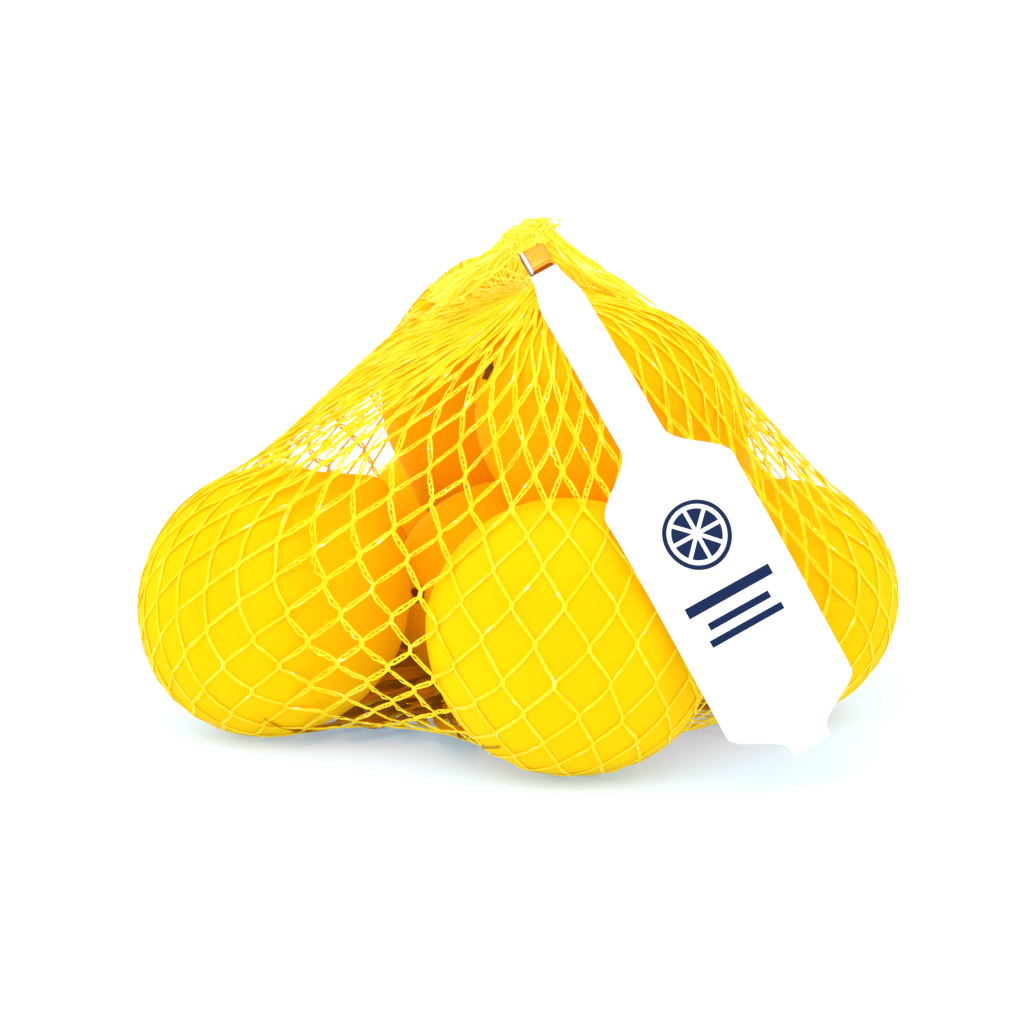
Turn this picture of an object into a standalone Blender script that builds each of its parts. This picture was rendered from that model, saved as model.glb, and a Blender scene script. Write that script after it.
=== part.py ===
"""Net of lemons: nine lemons in a knitted net bag, gathered at the top by a metal clip with a hang label.

Sizes are in millimetres and are turned into metres when a mesh is made.  The pack stands on z = 0 and its
front, where the label hangs, faces -Y.
"""
import math

import bmesh
import bpy
import numpy as np
from mathutils import Matrix, Vector

MM = 0.001

# ---- the lemons that fill the net -------------------------------------------------------------------
# centre, radius across, half length, direction of the long axis (towards the nipple end)
LEMONS = {
    "front_left": ((-53.3, -33.4, 29.5), 28.4, 30.0, (0.66, 0.25, 0.70)),
    "front": ((10.9, -69.4, 29.4), 28.8, 31.0, (0.78, 0.52, -0.35)),
    "right": ((56.2, -13.4, 26.2), 25.9, 30.0, (0.31, 0.94, 0.10)),
    "top_left": ((-4.7, 35.1, 66.8), 26.8, 31.2, (-0.50, 0.10, -0.86)),
    "top_right": ((19.6, -27.4, 67.2), 26.4, 28.8, (0.88, 0.15, -0.46)),
    "middle": ((-1.9, -0.4, 25.1), 24.7, 28.8, (0.70, 0.70, -0.12)),
    "back_left": ((-9.4, 72.3, 25.7), 25.4, 30.3, (-0.87, -0.49, 0.04)),
    "back_right": ((37.3, 46.7, 26.1), 25.0, 29.8, (-0.83, -0.41, 0.39)),
    "left": ((-47.0, 22.0, 23.1), 22.6, 25.5, (-0.15, 0.98, 0.12)),
}
NIPPLE_LENGTH = 5.0         # how far the tip of a lemon stands past its round body
NIPPLE_RADIUS = 7.0

# ---- the net ------------------------------------------------------------------------------------------
NET_STAND = 1.0             # the strands lie this proud of the peel
NET_DETAIL = 5              # subdivisions of the ball of directions in which the net is measured
PACK_MIDDLE = (0.0, -5.0, 42.0)
SKIN_SAMPLES = 300          # points on each lemon that the first, straight-sided wrap is laid over
TIGHTEN_ROUNDS = 40         # how long the wrap is then drawn in between the lemons
PULL_RIGHT = 0.34           # how hard, in each round, on the right and on the left, where its folds gather it
PULL_LEFT = 0.86
PULL_RUN = (-25.0, 15.0)    # the pull changes over this stretch, from left to right

# ---- how the label and the clip hang ------------------------------------------------------------------
HANG_LEAN = math.radians(12.0)      # the plane of the label's fall faces up a little
HANG_TURN = math.radians(29.1)      # and in it the label falls this far to the right of straight down
GAP = 0.3                           # clear space kept between neighbouring solids

# ---- clip, neck and tuft ------------------------------------------------------------------------------
CLIP_CENTRE = (3.3, -27.4, 102.8)
CLIP_TILT = math.radians(25.0)      # the top of the clip leans back
CLIP_WIDTH = 6.2
CLIP_DEPTH = 3.4
CLIP_HEIGHT = 5.8
CLIP_END_SEGMENTS = 6
CLIP_LAP = 0.35                     # the end of the band laps over its front
CLIP_EDGE = 0.25
NECK_DROP = 0.9             # the gathered net starts this far under the clip
NECK_HALF = (3.0, 1.4)              # half width and half depth of the gathered net under the clip

TUFT_ROWS = 7
TUFT_SEGMENTS = 20
TUFT_BASE = (2.5, 1.4)              # half width and half depth just above the clip
TUFT_TOP = (5.6, 3.6)
TUFT_RISE = (3.6, 1.2, 4.2)         # from its base to the middle of its top
TUFT_DOME = 1.6
TUFT_LOBES = 5
TUFT_LOBE_DEPTH = 0.14

# ---- label --------------------------------------------------------------------------------------------
LABEL_THICKNESS = 0.6
LABEL_LENGTH = 129.0
LABEL_TOP_HALF = 3.1                # half widths: where it leaves the clip, down the neck, body and stub
LABEL_NECK_HALF = 5.0
LABEL_BODY_HALF = 15.8
LABEL_STUB_HALF = 4.8
LABEL_TAPER = (0.0, 12.0)           # distances down the label between which each width turns into the next
LABEL_SHOULDER = (51.0, 66.0)
LABEL_FOOT = (118.5, 127.0)
LABEL_TWIST = math.radians(20.0)    # its body leans back on the right-hand lemon
LABEL_TWIST_RUN = (44.0, 72.0)
LABEL_COLUMNS = 6
LABEL_ROW = 1.9                     # length of a row of faces down the label
# how far the label has come forward, for how far it has fallen from the clip
LABEL_FALL = (
    (0.0, 2.15),
    (8.0, 8.6),
    (16.0, 14.6),
    (30.0, 24.0),
    (46.0, 32.4),
    (58.0, 41.4),
    (66.0, 44.6),
    (76.0, 44.9),
    (92.0, 41.8),
    (116.0, 35.0),
)

# colour, roughness and metallic value of each piece
FINISHES = {
    "net_bag": ((0.98, 0.78, 0.02, 1.0), 0.45, 0.0),
    "net_tuft": ((0.98, 0.66, 0.02, 1.0), 0.45, 0.0),
    "clip": ((0.80, 0.36, 0.12, 1.0), 0.28, 1.0),
    "label": ((0.93, 0.93, 0.93, 1.0), 0.35, 0.0),
}


def ease(value, run):
    """0 before the run, 1 after it, and a smooth turn between."""
    share = min(max((value - run[0]) / (run[1] - run[0]), 0.0), 1.0)
    return share * share * (3.0 - 2.0 * share)


def unit_spiral(count):
    """Evenly spread directions."""
    step = np.arange(count) + 0.5
    height = 1.0 - 2.0 * step / count
    angle = math.pi * (1.0 + math.sqrt(5.0)) * step
    width = np.sqrt(1.0 - height ** 2)
    return np.column_stack((width * np.cos(angle), width * np.sin(angle), height))


def frame_along(direction):
    """Rotation whose first column is the direction, for a shape that is round about it."""
    return np.array(Vector(direction).to_track_quat('X', 'Z').to_matrix())


def ball_reach(directions, centre, turn, radii):
    """How far a ray from the middle of the pack gets before it leaves a ball; 0 where it misses."""
    start = (np.array(PACK_MIDDLE) - centre) @ turn / radii
    rays = directions @ turn / radii
    a = (rays ** 2).sum(axis=1)
    b = rays @ start
    root = b ** 2 - a * (start @ start - 1.0)
    return np.where(root > 0.0, (-b + np.sqrt(np.maximum(root, 0.0))) / a, 0.0)


def lemon_balls():
    """Each lemon as two balls, its body and its nipple, swollen by the strands that lie on it."""
    for centre, across, half_length, direction in LEMONS.values():
        turn = frame_along(direction)
        centre = np.array(centre)
        yield centre, turn, np.array((half_length, across, across)) + NET_STAND
        tip = centre + turn[:, 0] * (half_length + NIPPLE_LENGTH - NIPPLE_RADIUS)
        yield tip, turn, np.full(3, NIPPLE_RADIUS + NET_STAND)


def hang_turn():
    """Columns: across the label, to the back, and up along it."""
    return Matrix.Rotation(-HANG_LEAN, 3, 'X') @ Matrix.Rotation(-HANG_TURN, 3, 'Y')


def clip_turn():
    """Columns: across the clip, to the back, and up along the gathered neck."""
    return np.array(hang_turn() @ Matrix.Rotation(-CLIP_TILT, 3, 'X'))


def neck_foot():
    """Middle of the gathered net, just under the clip."""
    return np.array(CLIP_CENTRE) - clip_turn()[:, 2] * (CLIP_HEIGHT / 2 + NECK_DROP)


def floor_reach(directions):
    """How far a ray gets before it meets the floor."""
    down = np.minimum(directions[:, 2], -1e-6)
    return PACK_MIDDLE[2] / -down


def wrap_reach(directions):
    """A straight-sided wrap over all the lemons and the neck, which the net is then drawn in from."""
    skin = [centre + (unit_spiral(SKIN_SAMPLES) * radii) @ turn.T for centre, turn, radii in lemon_balls()]
    skin.append(neck_foot()[None, :])
    hull = bmesh.new()
    for place in np.vstack(skin):
        hull.verts.new(place)
    bmesh.ops.convex_hull(hull, input=hull.verts)
    hull.normal_update()
    normals = np.array([face.normal for face in hull.faces])
    corners = np.array([face.verts[0].co for face in hull.faces])
    hull.free()
    depth = ((corners - np.array(PACK_MIDDLE)) * normals).sum(axis=1)
    facing = directions @ normals.T
    reach = np.where(facing > 1e-6, depth / np.maximum(facing, 1e-6), np.inf)
    return reach.min(axis=1)


def corner_normals(points, faces):
    """Normal at each point of a closed mesh of triangles."""
    a, b, c = (points[faces[:, k]] for k in range(3))
    face_normals = np.cross(b - a, c - a)
    normals = np.zeros_like(points)
    for k in range(3):
        np.add.at(normals, faces[:, k], face_normals)
    return normals / np.linalg.norm(normals, axis=1)[:, None]


def draw_tight(directions, faces, links, held):
    """Draw the wrap in towards the middle of its neighbours, but never into a lemon or through the floor."""
    middle = np.array(PACK_MIDDLE)
    least = np.max([ball_reach(directions, *ball) for ball in lemon_balls()], axis=0)
    most = floor_reach(directions)
    reach = np.minimum(np.maximum(wrap_reach(directions), least), most)
    points = middle + directions * reach[:, None]
    strength = np.array([PULL_LEFT + (PULL_RIGHT - PULL_LEFT) * ease(x, PULL_RUN) for x in points[:, 0]])
    for _ in range(TIGHTEN_ROUNDS):
        for index, place in held.items():
            points[index] = place
        normals = corner_normals(points, faces)
        pull = np.array([points[near].mean(axis=0) for near in links]) - points
        slope = np.maximum((directions * normals).sum(axis=1), 0.25)
        reach = reach + strength * (pull * normals).sum(axis=1) / slope
        reach = np.minimum(np.maximum(reach, least), most)
        points = middle + directions * reach[:, None]
    for index, place in held.items():
        points[index] = place
    return points


def net_bag():
    """The bag: the net drawn tight round the lemons and up to the gathered neck."""
    mesh = bmesh.new()
    bmesh.ops.create_icosphere(mesh, subdivisions=NET_DETAIL, radius=1.0)
    mesh.verts.ensure_lookup_table()
    directions = np.array([v.co.normalized() for v in mesh.verts])
    links = [[edge.other_vert(v).index for edge in v.link_edges] for v in mesh.verts]
    faces = np.array([[v.index for v in face.verts] for face in mesh.faces])
    foot = neck_foot()
    turn = clip_turn()
    to_foot = foot - np.array(PACK_MIDDLE)
    top = int(np.argmax(directions @ to_foot))
    held = {top: foot}
    for index in links[top]:
        across = directions[index] - directions[top]
        side = turn[:, :2].T @ across
        side = side / np.linalg.norm(side)
        held[index] = foot + turn[:, 0] * NECK_HALF[0] * side[0] + turn[:, 1] * NECK_HALF[1] * side[1]
    points = draw_tight(directions, faces, links, held)
    for vertex, place in zip(mesh.verts, points):
        vertex.co = place * MM
    return mesh


def tuft():
    """The gathered end of the net above the clip: a small crumpled flare."""
    turn = clip_turn()
    base = np.array(CLIP_CENTRE) + turn[:, 2] * (CLIP_HEIGHT / 2 + GAP)
    drift = np.array((TUFT_RISE[0], TUFT_RISE[1], 0.0))
    mesh = bmesh.new()
    rings = []
    for row in range(TUFT_ROWS):
        share = row / (TUFT_ROWS - 1)
        flare = math.sin(share * math.pi / 2)
        middle = base + turn[:, 2] * TUFT_RISE[2] * share + drift * share ** 2
        ring = []
        for step in range(TUFT_SEGMENTS):
            angle = 2 * math.pi * step / TUFT_SEGMENTS
            lobe = 1.0 + TUFT_LOBE_DEPTH * share * math.sin(TUFT_LOBES * angle + 1.3)
            half_width = (TUFT_BASE[0] + (TUFT_TOP[0] - TUFT_BASE[0]) * flare) * lobe
            half_depth = (TUFT_BASE[1] + (TUFT_TOP[1] - TUFT_BASE[1]) * flare) * lobe
            spoke = turn[:, 0] * half_width * math.cos(angle) + turn[:, 1] * half_depth * math.sin(angle)
            ring.append(mesh.verts.new((middle + spoke) * MM))
        rings.append(ring)
    for lower, upper in zip(rings, rings[1:]):
        for step in range(TUFT_SEGMENTS):
            after = (step + 1) % TUFT_SEGMENTS
            mesh.faces.new((lower[step], lower[after], upper[after], upper[step]))
    mesh.faces.new(list(reversed(rings[0])))
    crown = middle + turn[:, 2] * TUFT_DOME
    top = mesh.verts.new(crown * MM)
    for step in range(TUFT_SEGMENTS):
        mesh.faces.new((rings[-1][step], rings[-1][(step + 1) % TUFT_SEGMENTS], top))
    bmesh.ops.recalc_face_normals(mesh, faces=mesh.faces)
    return mesh


def clip():
    """A metal band crimped flat round the neck: a block with round ends, and its lapped end in front."""
    outline = []
    radius = CLIP_DEPTH / 2
    straight = CLIP_WIDTH / 2 - radius
    for side, start in ((1.0, -90.0), (-1.0, 90.0)):
        for step in range(CLIP_END_SEGMENTS + 1):
            angle = math.radians(start + 180.0 * step / CLIP_END_SEGMENTS)
            outline.append((side * straight + radius * math.cos(angle), radius * math.sin(angle)))
    mesh = bmesh.new()
    half = CLIP_HEIGHT / 2
    face = mesh.faces.new([mesh.verts.new((x, y, -half)) for x, y in outline])
    grown = bmesh.ops.extrude_face_region(mesh, geom=[face])
    lifted = [item for item in grown["geom"] if isinstance(item, bmesh.types.BMVert)]
    bmesh.ops.translate(mesh, vec=(0.0, 0.0, CLIP_HEIGHT), verts=lifted)
    bmesh.ops.recalc_face_normals(mesh, faces=mesh.faces)
    mesh.normal_update()
    front = min(mesh.faces, key=lambda f: f.normal.y * f.calc_area())
    bmesh.ops.inset_region(mesh, faces=[front], thickness=CLIP_EDGE)
    front = min(mesh.faces, key=lambda f: f.normal.y * f.calc_area())
    grown = bmesh.ops.extrude_face_region(mesh, geom=[front])
    lifted = [item for item in grown["geom"] if isinstance(item, bmesh.types.BMVert)]
    bmesh.ops.translate(mesh, vec=(0.0, -CLIP_LAP, 0.0), verts=lifted)
    bmesh.ops.delete(mesh, geom=[front], context='FACES')
    bmesh.ops.recalc_face_normals(mesh, faces=mesh.faces)
    turn = Matrix(clip_turn().tolist())
    place = Matrix.Translation(Vector(CLIP_CENTRE) * MM) @ turn.to_4x4() @ Matrix.Scale(MM, 4)
    bmesh.ops.transform(mesh, matrix=place, verts=mesh.verts)
    return mesh


def fall_curve():
    """The label's middle line as (fallen, forward) places a short step apart, with the distance along it."""
    fallen = np.array([point[0] for point in LABEL_FALL])
    forward = np.array([point[1] for point in LABEL_FALL])
    slope = np.gradient(forward, fallen)
    line = []
    for k in range(len(fallen) - 1):
        span = fallen[k + 1] - fallen[k]
        for share in np.linspace(0.0, 1.0, 40, endpoint=False):
            h00 = 2 * share ** 3 - 3 * share ** 2 + 1
            h10 = share ** 3 - 2 * share ** 2 + share
            h01 = 1 - h00
            h11 = share ** 3 - share ** 2
            height = h00 * forward[k] + h01 * forward[k + 1] + span * (h10 * slope[k] + h11 * slope[k + 1])
            line.append((fallen[k] + span * share, height))
    line.append((fallen[-1], forward[-1]))
    line = np.array(line)
    along = np.concatenate(([0.0], np.cumsum(np.linalg.norm(np.diff(line, axis=0), axis=1))))
    return line, along


def label_half_width(distance):
    """Half the label's width at a distance down it from the clip: neck, shoulders, body, foot and stub."""
    half = LABEL_TOP_HALF + (LABEL_NECK_HALF - LABEL_TOP_HALF) * ease(distance, LABEL_TAPER)
    half += (LABEL_BODY_HALF - LABEL_NECK_HALF) * ease(distance, LABEL_SHOULDER)
    half -= (LABEL_BODY_HALF - LABEL_STUB_HALF) * ease(distance, LABEL_FOOT)
    return half


def label():
    """The hang label: one sheet that falls from the clip over the top lemon and hangs in front."""
    turn = np.array(hang_turn())
    across, back, upward = turn[:, 0], turn[:, 1], turn[:, 2]
    top = np.array(CLIP_CENTRE) - clip_turn()[:, 2] * (CLIP_HEIGHT / 2 + GAP)
    line, along = fall_curve()
    mesh = bmesh.new()
    rows = int(LABEL_LENGTH / LABEL_ROW)
    grid = bmesh.ops.create_grid(mesh, x_segments=LABEL_COLUMNS, y_segments=rows, size=1.0)
    for vertex in grid["verts"]:
        distance = (1.0 - vertex.co.y) / 2 * LABEL_LENGTH
        side = vertex.co.x * label_half_width(distance)
        fallen = np.interp(distance, along, line[:, 0])
        forward = np.interp(distance, along, line[:, 1])
        lean = LABEL_TWIST * ease(distance, LABEL_TWIST_RUN)
        sideways = across * math.cos(lean) + back * math.sin(lean)
        place = top - upward * fallen - back * forward + sideways * side
        vertex.co = place * MM
    return mesh


def material(name):
    """The plain material of one of the pieces."""
    colour, roughness, metallic = FINISHES[name]
    made = bpy.data.materials.new(name)
    made.use_nodes = True
    shader = made.node_tree.nodes["Principled BSDF"]
    shader.inputs["Base Color"].default_value = colour
    shader.inputs["Roughness"].default_value = roughness
    shader.inputs["Metallic"].default_value = metallic
    made.diffuse_color = colour
    return made


def add_object(name, mesh):
    """Put a finished mesh into the scene under its node name, with its own material."""
    data = bpy.data.meshes.new(name)
    mesh.to_mesh(data)
    mesh.free()
    data.shade_smooth()
    data.materials.append(material(name))
    piece = bpy.data.objects.new(name, data)
    bpy.context.scene.collection.objects.link(piece)
    return piece


def clear_scene():
    for piece in list(bpy.data.objects):
        bpy.data.objects.remove(piece, do_unlink=True)


def main():
    clear_scene()
    add_object("net_bag", net_bag())
    add_object("net_tuft", tuft())
    add_object("clip", clip())
    sheet = add_object("label", label())
    thickness = sheet.modifiers.new("thickness", 'SOLIDIFY')
    thickness.thickness = LABEL_THICKNESS * MM
    thickness.offset = 0.0


main()
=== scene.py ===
"""Net of lemons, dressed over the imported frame.

Nine lemons lie in a knitted net that a metal clip gathers at the top; the clip also holds a white hang label.
Lengths in the tables are millimetres and are turned into metres where a mesh is made.
"""

import math

import bmesh
import bpy
import numpy as np
from mathutils import Matrix, Vector, noise
from mathutils.bvhtree import BVHTree


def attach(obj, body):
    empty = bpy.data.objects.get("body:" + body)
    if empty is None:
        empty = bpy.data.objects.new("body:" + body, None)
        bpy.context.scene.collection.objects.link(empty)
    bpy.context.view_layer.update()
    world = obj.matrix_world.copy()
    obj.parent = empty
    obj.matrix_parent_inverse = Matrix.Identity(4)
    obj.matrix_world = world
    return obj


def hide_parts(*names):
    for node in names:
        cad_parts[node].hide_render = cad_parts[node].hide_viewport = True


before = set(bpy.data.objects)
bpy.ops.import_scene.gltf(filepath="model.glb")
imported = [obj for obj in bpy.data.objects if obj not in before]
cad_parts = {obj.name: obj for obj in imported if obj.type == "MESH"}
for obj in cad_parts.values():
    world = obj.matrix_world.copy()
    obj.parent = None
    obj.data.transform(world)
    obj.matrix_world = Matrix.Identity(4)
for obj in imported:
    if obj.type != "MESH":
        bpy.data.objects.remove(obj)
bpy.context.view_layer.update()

bl_info = {
    "name": "Net of lemons",
    "version": (1, 0, 0),
    "blender": (4, 5, 0),
    "location": "View3D > Sidebar > Lemon net",
    "description": "Makes the lemons, the knitted net, the clip and the hang label",
    "category": "Object",
}

MM = 0.001

# ---- the lemons ---------------------------------------------------------------------------------------
# centre, radius across, half length, direction towards the nipple, length of the nipple, number of its looks,
# how much the green of its peel is taken down (1 is the plain peel colour), partly for how ripe it is and
# partly as painted shade on lemons that lie in shade, and whether the dried button is still on its stalk end
LEMONS = {
    "front_left": ((-53.3, -33.4, 29.5), 28.4, 30.0, (0.66, 0.25, 0.70), 5.2, 1, 0.99, False),
    "front": ((10.9, -69.4, 29.4), 28.8, 31.0, (0.78, 0.52, -0.35), 4.2, 2, 1.00, False),
    "right": ((56.2, -13.4, 26.2), 25.9, 30.0, (0.31, 0.94, 0.10), 4.4, 3, 0.96, True),
    "top_left": ((-4.7, 35.1, 66.8), 26.8, 31.2, (-0.50, 0.10, -0.86), 4.6, 4, 0.94, False),
    "top_right": ((19.6, -27.4, 67.2), 26.4, 30.6, (0.85, 0.32, -0.42), 3.8, 5, 0.82, True),
    "middle": ((-1.9, -0.4, 25.1), 24.7, 28.8, (0.70, 0.70, -0.12), 2.4, 6, 0.97, True),
    "back_left": ((-9.4, 72.3, 25.7), 25.4, 30.3, (-0.87, -0.49, 0.04), 4.4, 7, 0.96, True),
    "back_right": ((37.3, 46.7, 26.1), 25.0, 29.8, (-0.83, -0.41, 0.39), 3.6, 8, 0.90, True),
    "left": ((-47.0, 22.0, 23.1), 22.6, 25.5, (-0.15, 0.98, 0.12), 3.6, 9, 0.92, False),
}

# ---- how the label and the clip hang, as in the construction -----------------------------------------------
HANG_LEAN = math.radians(12.0)
HANG_TURN = math.radians(29.1)
CLIP_CENTRE = (3.3, -27.4, 102.8)
CLIP_TILT = math.radians(25.0)
CLIP_WIDTH = 6.2
CLIP_DEPTH = 3.4
CLIP_HEIGHT = 5.8
NECK_DROP = 0.9
GAP = 0.3

# ---- net ----------------------------------------------------------------------------------------------
PACK_MIDDLE = (-5.0, -9.0, 42.0)
NET_SINK = 0.70             # the strands' middle lies this far inside the skin of the solid bag,
PEEL_GAP = 0.20             # never closer than this to the peel,
PEEL_REACH = 3.0            # which is looked for this far away,
FLOOR_GAP = 0.08            # and this far off the floor at least
NET_GLOW = 0.27             # painted glow, as a share of its colour, that stands for the light the thin tape lets through and lifts its shaded side
# how thickly the columns stand at the clip and at the waist, by side in degrees: 0 is the front, + the right
CLIP_CROWDING = (
    (-180.0, 1.50),
    (-130.0, 1.50),
    (-100.0, 1.60),
    (-76.0, 2.50),
    (-60.0, 0.55),
    (-36.0, 0.22),
    (8.0, 0.15),
    (40.0, 0.22),
    (70.0, 0.70),
    (100.0, 1.25),
    (140.0, 1.25),
    (180.0, 1.50),
)
WAIST_CROWDING = (
    (-180.0, 0.90),
    (-100.0, 1.20),
    (-62.0, 1.30),
    (-28.0, 0.98),
    (10.0, 0.90),
    (60.0, 1.10),
    (120.0, 0.90),
    (180.0, 0.90),
)
WAIST_TURN = -8.0           # the columns that leave the clip at the front pass the waist at this side
FAN_RUN = (8.0, 96.0)       # the columns turn to an even spacing over this distance from the clip
ROW_PITCH = 8.9             # between rows on the front, where the bag is shortest
ROWS_EVEN = 0.62            # and the share of the rows that is laid like that, from the clip down
ROWS_STEEPEST = 1.4         # the rows start at most this much wider where the bag is long
WAIST_TILT = math.radians(95.0)
LEG_SCATTER = 0.065         # how unevenly the legs are knitted, as a share of their length
LEG_SHORTEST = 0.72         # a leg that is shorter than this share of its length pushes its knots apart
LEG_BOW = 0.10              # how far a leg bows out at random, and how far a slack one sags
LEG_SAG = 1.5
KNOT_SHARE = 0.22           # the share of a leg at either end over which its tapes close up
ON_PEEL = 0.48              # how much of their spread the tapes keep where they lie on the peel
ROOMY = 1.6                 # and with less room than this between wales they close up further
FREE_HANG = (1.1, 2.6)      # on the peel nearer than the first of these, hanging free beyond the second
NET_BANDS = 7               # the net is made as this many pieces, side by side


def ease(value, run):
    """0 before the run, 1 after it, and a smooth turn between."""
    share = np.clip((value - run[0]) / (run[1] - run[0]), 0.0, 1.0)
    return share * share * (3.0 - 2.0 * share)


def hang_turn():
    """Columns: across the label, to the back, and up along it."""
    return Matrix.Rotation(-HANG_LEAN, 3, 'X') @ Matrix.Rotation(-HANG_TURN, 3, 'Y')


def clip_turn():
    """Columns: across the clip, to the back, and up along the gathered neck."""
    return np.array(hang_turn() @ Matrix.Rotation(-CLIP_TILT, 3, 'X'))


def neck_foot():
    """Middle of the gathered net, just under the clip."""
    return np.array(CLIP_CENTRE) - clip_turn()[:, 2] * (CLIP_HEIGHT / 2 + NECK_DROP)


def unit(vectors):
    """Vectors scaled to a length of 1."""
    return vectors / np.maximum(np.linalg.norm(vectors, axis=-1, keepdims=True), 1e-9)


class NetSkin:
    """The drawn-tight skin of the bag, looked up by direction from the middle of the pack.

    Directions are measured from the neck: tilt is 0 at the neck and pi at the foot, and side is 0 at the
    front and grows towards the right.
    """

    TILTS = 260
    SIDES = 360
    TILT_POWER = 1.4            # the rows of the table stand closer near the neck

    def __init__(self):
        self.middle = np.array(PACK_MIDDLE)
        up = unit(neck_foot() - self.middle)
        front = np.array((0.0, -1.0, 0.0))
        front = unit(front - up * (front @ up))
        self.axes = np.column_stack((front, np.cross(up, front), up))
        share = np.linspace(0.0, 1.0, self.TILTS)
        self.tilts = math.pi * share ** self.TILT_POWER
        self.sides = np.linspace(-math.pi, math.pi, self.SIDES + 1)
        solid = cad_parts["net_bag"].data
        tree = BVHTree.FromPolygons([v.co for v in solid.vertices], [p.vertices for p in solid.polygons])
        tilt, side = np.meshgrid(self.tilts, self.sides, indexing='ij')
        rays = self.direction(tilt, side)
        start = Vector(self.middle * MM)
        reach = np.zeros(tilt.shape)
        for index in np.ndindex(tilt.shape):
            hit = tree.ray_cast(start, Vector(rays[index]))[0]
            reach[index] = (hit - start).length / MM if hit else 0.0
        reach[:, -1] = reach[:, 0]
        for row in np.flatnonzero((reach == 0.0).any(axis=1)):
            missed = reach[row] == 0.0
            reach[row, missed] = reach[row, ~missed].mean() if (~missed).any() else reach[row - 1].mean()
        self.reach = reach
        places = self.middle + rays * reach[..., None]
        down = np.gradient(places, axis=0)
        around = np.gradient(places, axis=1)
        around[:, 0] = around[:, -1] = (places[:, 1] - places[:, -2]) / 2
        self.normals = unit(np.cross(down, around))
        self.normals[0] = up
        self.normals[-1] = -up
        steps = np.linalg.norm(np.diff(places, axis=0), axis=2)
        self.run = np.vstack((np.zeros(self.SIDES + 1), np.cumsum(steps, axis=0)))
        self.places = places

    def direction(self, tilt, side):
        """Unit vectors for tilts and sides."""
        local = np.stack((np.sin(tilt) * np.cos(side), np.sin(tilt) * np.sin(side), np.cos(tilt)), axis=-1)
        return local @ self.axes.T

    def angles(self, places):
        """Tilt and side of places."""
        local = unit(places - self.middle) @ self.axes
        return np.arccos(np.clip(local[..., 2], -1.0, 1.0)), np.arctan2(local[..., 1], local[..., 0])

    def look_up(self, table, tilt, side):
        """The table's value between its nearest four entries."""
        row = (np.clip(tilt, 0.0, math.pi) / math.pi) ** (1.0 / self.TILT_POWER) * (self.TILTS - 1)
        column = ((side + math.pi) % (2 * math.pi)) / (2 * math.pi) * self.SIDES
        row_low = np.minimum(row.astype(int), self.TILTS - 2)
        column_low = np.minimum(column.astype(int), self.SIDES - 1)
        down = row - row_low
        across = column - column_low
        if table.ndim == 3:
            down, across = down[..., None], across[..., None]
        upper = table[row_low, column_low] * (1 - across) + table[row_low, column_low + 1] * across
        lower = table[row_low + 1, column_low] * (1 - across) + table[row_low + 1, column_low + 1] * across
        return upper * (1 - down) + lower * down

    def fallen(self, run, side):
        """Places that lie a run down from the neck, along the skin, at a side."""
        turned = (side + math.pi) % (2 * math.pi) / (2 * math.pi)
        column = np.round(turned * self.SIDES).astype(int) % self.SIDES
        tilt = np.array([np.interp(r, self.run[:, c], self.tilts) for r, c in zip(run, column)])
        return self.middle + self.direction(tilt, side) * self.look_up(self.reach, tilt, side)[:, None]

    def length(self, side):
        """How long the skin is from the neck to the foot at sides."""
        return self.look_up(self.run, np.full(len(side), math.pi), side)

    def settle(self, places):
        """Places moved straight towards or away from the middle until they lie on the skin."""
        tilt, side = self.angles(places)
        reach = self.look_up(self.reach, tilt, side)
        return self.middle + unit(places - self.middle) * reach[..., None]

    def normal(self, places):
        """Outward normals at places."""
        return unit(self.look_up(self.normals, *self.angles(places)))


def spread_sides(crowding, steps, start, share):
    """Sides at which evenly numbered columns stand, from a start side, where a table says how thickly."""
    fine = np.linspace(-math.pi, math.pi, 721)
    crowd = np.interp(fine, np.radians([row[0] for row in crowding]), [row[1] for row in crowding])
    crowd = crowd * np.interp(fine, *steps)
    total = np.concatenate(([0.0], np.cumsum((crowd[1:] + crowd[:-1]) / 2)))
    total = total / total[-1]
    return np.interp((share + np.interp(start, fine, total)) % 1.0, total, fine)


def column_sides(skin, cells):
    """The side at which each half column leaves the clip, and the turn to where it passes the waist."""
    waist = skin.places[int(np.searchsorted(skin.tilts, WAIST_TILT))]
    steps = np.linalg.norm(np.diff(waist, axis=0), axis=1)
    share = np.arange(2 * cells) / (2.0 * cells)
    top_sides = spread_sides(CLIP_CROWDING, ((-math.pi, math.pi), (1.0, 1.0)), 0.0, share)
    waist_sides = spread_sides(
        WAIST_CROWDING, (skin.sides[:-1] + math.pi / skin.SIDES, steps), math.radians(WAIST_TURN), share)
    gap = (waist_sides - top_sides + math.pi) % (2 * math.pi) - math.pi
    return top_sides, gap


def fallen_share(share, row_pitch):
    """How far down its meridian a row lies: evenly where the bag is long, crowded at a short side's foot."""
    steep = np.clip(ROW_PITCH / row_pitch, 1.0, ROWS_STEEPEST)
    late = (share - ROWS_EVEN) / (1.0 - ROWS_EVEN)
    return steep * share if share < ROWS_EVEN else steep * ROWS_EVEN + (1.0 - steep * ROWS_EVEN) * late


def lay_knots(skin, net):
    """Places of the knots before the net is relaxed: rows from the clip to the foot, columns around."""
    cells, rows = net.cells_around, net.rows
    top_sides, gap = column_sides(skin, cells)
    knots = np.zeros((rows + 1, cells, 3))
    for row in range(rows + 1):
        half = (2 * np.arange(cells) + row % 2) % (2 * cells)
        side = top_sides[half]
        for _ in range(4):
            whole = skin.length(side)
            fallen = fallen_share(row / rows, whole / rows) * whole
            side = top_sides[half] + gap[half] * ease(fallen, FAN_RUN)
        knots[row] = skin.fallen(fallen, side)
    return knots


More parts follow.
